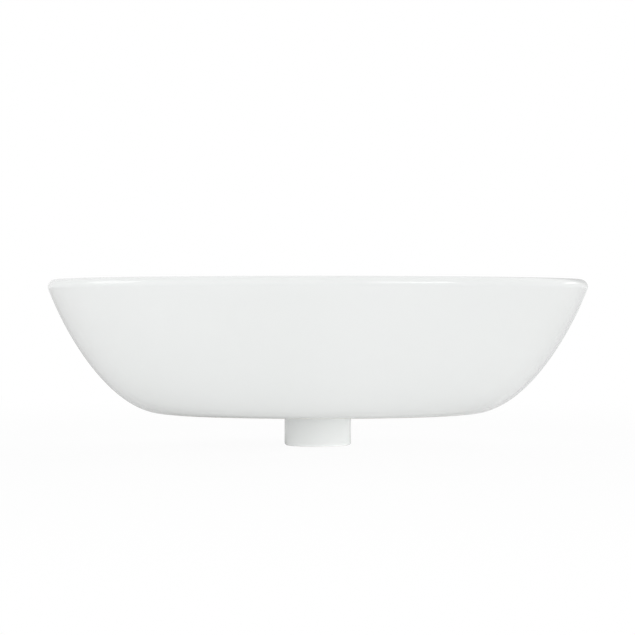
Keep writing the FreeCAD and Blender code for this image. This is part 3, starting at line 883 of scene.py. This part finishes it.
def build_world():
    """White for the eye, a little less for mirrors, and a soft fill from broad lights for the rest."""
    world = bpy.data.worlds.new("studio")
    bpy.context.scene.world = world
    world.use_nodes = True
    tree = world.node_tree
    away = add_node(tree, "ShaderNodeTexCoord").outputs["Generated"]
    level = FILL_LEVEL
    for azimuth, elevation, strength in SOFT_FILLS:
        spot = soft_spot(tree, away, azimuth, elevation, SOFT_FILL_SHARPNESS)
        level = maths(tree, "MULTIPLY_ADD", spot, strength, level)
    fill = tree.nodes["Background"]
    link_or_set(tree, fill.inputs["Color"], WHITE)
    link_or_set(tree, fill.inputs["Strength"], level)
    eye, mirror = eye_and_mirror(tree)
    white = add_node(tree, "ShaderNodeBackground", {"Color": WHITE})
    card = soft_spot(tree, away, *DARK_CARD, DARK_CARD_SHARPNESS)
    mirrored = mix_values(tree, card, MIRRORED_LEVEL, DARK_CARD_LEVEL)
    link_or_set(tree, white.inputs["Strength"], mix_values(tree, mirror, 1.0, mirrored))
    shown = maths(tree, "MAXIMUM", eye, mirror)
    both = add_node(tree, "ShaderNodeMixShader", {0: shown, 1: fill.outputs[0], 2: white.outputs[0]})
    tree.links.new(both.outputs[0], tree.nodes["World Output"].inputs["Surface"])


def floor_shown(tree, place, right, eye, mirror):
    """Plain white for the eye and in mirrors, with a share of the real shadow near the basin."""
    plain = mix_colours(tree, mottled(tree, place, scale=4.0), *FLOOR_COLOURS)
    mirrored = mix_colours(tree, right, FLOOR_MIRRORED_LEFT, FLOOR_MIRRORED_RIGHT)
    lit = add_node(tree, "ShaderNodeBsdfDiffuse", {"Color": mix_colours(tree, mirror, plain, mirrored)})
    white = add_node(tree, "ShaderNodeEmission", {"Color": WHITE, "Strength": 1.0})
    distance = distance_from(tree, place)
    near_eye = 1 - FLOOR_SHADOW_SEEN
    near_mirror = 1 - FLOOR_SHADOW_MIRRORED
    seen = spread(tree, distance, FLOOR_SHADOW_NEAR, FLOOR_SHADOW_FAR, near_eye, 1.0)
    reflected = spread(tree, distance, FLOOR_SHADOW_NEAR, FLOOR_MIRRORED_FAR, near_mirror, 1.0)
    share = maths(tree, "MULTIPLY_ADD", eye, seen, maths(tree, "MULTIPLY", mirror, reflected))
    inputs = {0: share, 1: lit.outputs[0], 2: white.outputs[0]}
    return add_node(tree, "ShaderNodeMixShader", inputs).outputs[0]


def floor_glow(tree, place, right, shown):
    """The light that comes up through the floor, which neither the eye nor a mirror sees."""
    distance = distance_from(tree, place)
    near = spread(tree, distance, FLOOR_GLOW_NEAR, FLOOR_GLOW_FAR, FLOOR_GLOW, 0.0)
    under = spread(tree, distance, NECK_RADIUS, FLOOR_GLOW_NEAR, FLOOR_GLOW_UNDER, 0.0)
    level = maths(tree, "MULTIPLY_ADD", under, right, near)
    unseen = maths(tree, "SUBTRACT", 1.0, shown)
    strength = maths(tree, "MULTIPLY", unseen, level)
    return add_node(tree, "ShaderNodeEmission", {"Strength": strength}).outputs[0]


def floor_white():
    """A white floor that lets a little light up, with only a faint shadow near the basin."""
    material, tree, shader, place = start_material("floor_white")
    tree.nodes.remove(shader)
    eye, mirror = eye_and_mirror(tree)
    across = add_node(tree, "ShaderNodeSeparateXYZ", {"Vector": place}).outputs["X"]
    right = spread(tree, across, -FLOOR_BLEND, FLOOR_BLEND)
    surface = floor_shown(tree, place, right, eye, mirror)
    glow = floor_glow(tree, place, right, maths(tree, "MAXIMUM", eye, mirror))
    both = add_node(tree, "ShaderNodeAddShader", {0: surface, 1: glow})
    tree.links.new(both.outputs[0], tree.nodes["Material Output"].inputs["Surface"])
    return material


def build_floor():
    """The floor that the neck stands on."""
    form = bmesh.new()
    bmesh.ops.create_grid(form, x_segments=1, y_segments=1, size=FLOOR_SIZE / 2)
    bmesh.ops.translate(form, verts=form.verts, vec=(0, 0, NECK_END))
    mesh = bpy.data.meshes.new("floor")
    form.to_mesh(mesh)
    form.free()
    mesh.materials.append(floor_white())
    floor = bpy.data.objects.new("floor", mesh)
    bpy.context.scene.collection.objects.link(floor)


def softbox(name, azimuth, elevation, width, height, level):
    """A rectangular lamp turned to the basin, as bright as a white sheet at level 1."""
    away = direction_to(azimuth, elevation)
    lamp = bpy.data.lights.new(name, "AREA")
    lamp.shape = "RECTANGLE"
    lamp.size = width
    lamp.size_y = height
    lamp.energy = level * math.pi * width * height
    holder = bpy.data.objects.new(name, lamp)
    holder.location = Vector((0, 0, LAMP_AIM_HEIGHT)) + away * LAMP_DISTANCE
    holder.rotation_euler = away.to_track_quat("Z", "Y").to_euler()
    bpy.context.scene.collection.objects.link(holder)


def build_lamps():
    """The softboxes that draw the streaks on the rim."""
    for lamp in LAMPS:
        softbox(*lamp)


def build_camera():
    """A level camera straight in front, with the photograph's field of view."""
    lens = bpy.data.cameras.new("camera")
    lens.sensor_fit = "HORIZONTAL"
    lens.sensor_width = SENSOR_WIDTH_MM
    lens.lens = FOCAL_LENGTH_PIXELS / IMAGE_WIDTH_PIXELS * SENSOR_WIDTH_MM
    camera = bpy.data.objects.new("camera", lens)
    camera.location = CAMERA_PLACE
    camera.rotation_euler = (math.radians(90), 0, 0)
    bpy.context.scene.collection.objects.link(camera)
    bpy.context.scene.camera = camera


def dress_nodes(finishes):
    """Gives every CAD node the finish of its material slot."""
    for part in frame["record"]["subparts"]:
        node = frame["nodes"][part["node"]]
        node.data.materials.clear()
        node.data.materials.append(finishes[part["material_slot"]])


FINISHES = (glazed_ceramic, chrome, brass, black_rubber, white_plastic, spring_steel)

bpy.context.scene.view_settings.view_transform = "Standard"
build_world()
build_floor()
build_lamps()
build_camera()
finishes = {make.__name__: make() for make in FINISHES}
dress_nodes(finishes)
build_basin(finishes["glazed_ceramic"])
build_waste_body(finishes["chrome"])
build_click_spring(finishes["spring_steel"])
